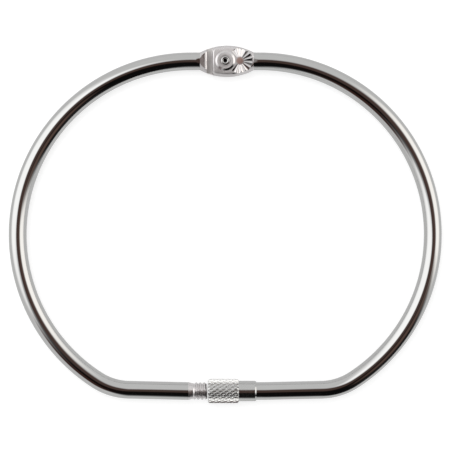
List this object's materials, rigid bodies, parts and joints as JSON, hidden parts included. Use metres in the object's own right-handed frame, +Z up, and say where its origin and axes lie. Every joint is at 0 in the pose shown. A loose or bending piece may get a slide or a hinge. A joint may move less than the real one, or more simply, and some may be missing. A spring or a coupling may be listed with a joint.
{
  "type": "jailer key ring",
  "caption": "Large flat-bottomed key ring of plated steel rod: half rings on a riveted hinge, closed by a knurled screw sleeve.",
  "frame": {"origin": "under the middle of the ring's outline, on the surface that it lies on", "axes": "+X towards the right half ring, +Y from the screw closure towards the hinge, +Z up out of the ring's plane"},
  "size_m": [0.127, 0.1048, 0.0071],
  "materials": {
    "plated_rod": "polished, chrome plated",
    "plated_rivet": "polished, chrome plated",
    "plated_sleeve": "turned and knurled, chrome plated"
  },
  "bodies": {
    "right_half": {"right_half_ring": "plated_rod", "hinge_rivet": "plated_rivet"},
    "left_half": {"left_half_ring": "plated_rod"},
    "sleeve": {"screw_sleeve": "plated_sleeve"}
  },
  "joints": [
    {"name": "hinge", "type": "hinge", "parent": "right_half", "child": "left_half", "pos_m": [0, 0.04782, 0.00355], "axis": [0, 0, -1], "range_deg": [0, 108]},
    {"name": "sleeve_lock", "type": "slide", "parent": "right_half", "child": "sleeve", "axis": [-1, 0, 0], "range_m": [0, 0.0055]}
  ]
}
